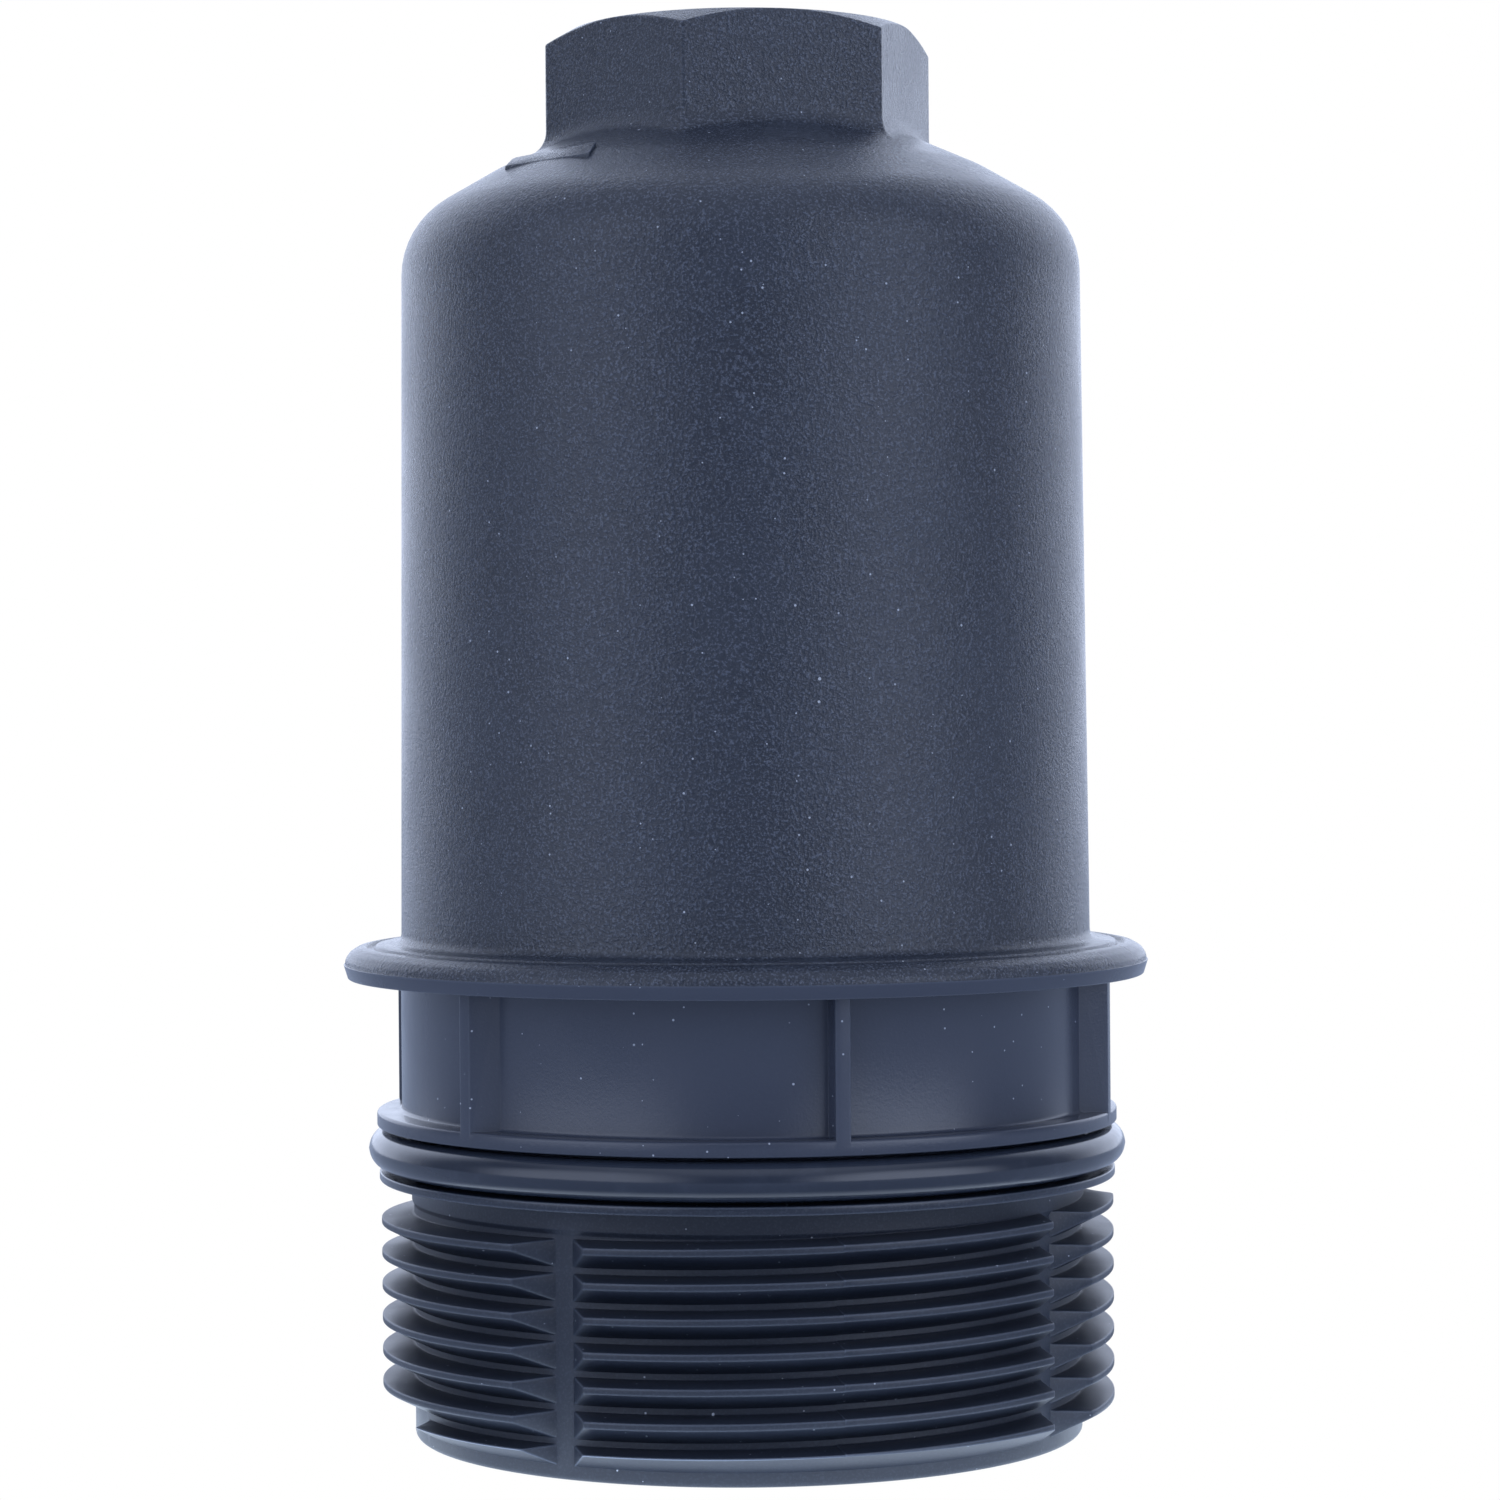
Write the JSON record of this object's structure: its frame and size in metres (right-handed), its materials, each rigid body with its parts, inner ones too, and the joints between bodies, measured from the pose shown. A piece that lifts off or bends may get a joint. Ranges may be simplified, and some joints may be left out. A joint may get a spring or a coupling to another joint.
{
  "type": "oil filter",
  "caption": "Cartridge oil filter: screw-on moulded housing cap with spanner hexagon, flange, O-ring and thread, holding a swivelling stem, bypass valve and pleated element.",
  "frame": {"origin": "centre of the open rim's end face, which the cap stands on", "axes": "+Z along the screw axis from the rim towards the hexagon; -Y towards the side with the widest hexagon face, which faces 14 degrees from -Y towards +X"},
  "size_m": [0.075, 0.075, 0.13],
  "materials": {
    "cap_plastic": "spark-eroded satin, dark slate blue",
    "seal_rubber": "smooth moulded, slightly glossy",
    "stem_plastic": "satin, glass-filled nylon",
    "spring_steel": "bright drawn",
    "plunger_brass": "turned",
    "filter_paper": "matt resin-treated paper",
    "element_plastic": "satin",
    "tinplate": "tinned",
    "hot_melt": "waxy"
  },
  "bodies": {
    "cap": {"housing_cap": "cap_plastic", "cap_o_ring": "seal_rubber"},
    "stem": {"stem_foot": "stem_plastic", "core_stem": "stem_plastic", "valve_housing": "stem_plastic", "swivel_clip": "spring_steel", "foot_o_ring_lower": "seal_rubber", "foot_o_ring_upper": "seal_rubber", "spring_seat": "spring_steel", "bypass_spring": "spring_steel"},
    "plunger": {"bypass_plunger": "plunger_brass", "plunger_seal": "seal_rubber"},
    "element": {"pleat_pack": "filter_paper", "upper_end_cap": "element_plastic", "lower_end_cap": "element_plastic", "support_core": "element_plastic", "upper_seal_ring": "seal_rubber", "lower_seal_ring": "seal_rubber", "pleat_seam_clip": "tinplate", "upper_pleat_thread": "hot_melt", "lower_pleat_thread": "hot_melt"}
  },
  "joints": [
    {"name": "stem_swivel", "type": "hinge", "parent": "cap", "child": "stem", "pos_m": [0, 0, 0.12], "axis": [0, 0, 1], "continuous": true},
    {"name": "element_pull", "type": "slide", "parent": "cap", "child": "element", "axis": [0, 0, -1], "range_m": [0, 0.106]},
    {"name": "bypass_lift", "type": "slide", "parent": "stem", "child": "plunger", "axis": [0, 0, -1], "range_m": [0, 0.004], "stiffness_N_per_m": 3000, "springref_m": -0.0125, "deforming": ["bypass_spring"]}
  ]
}
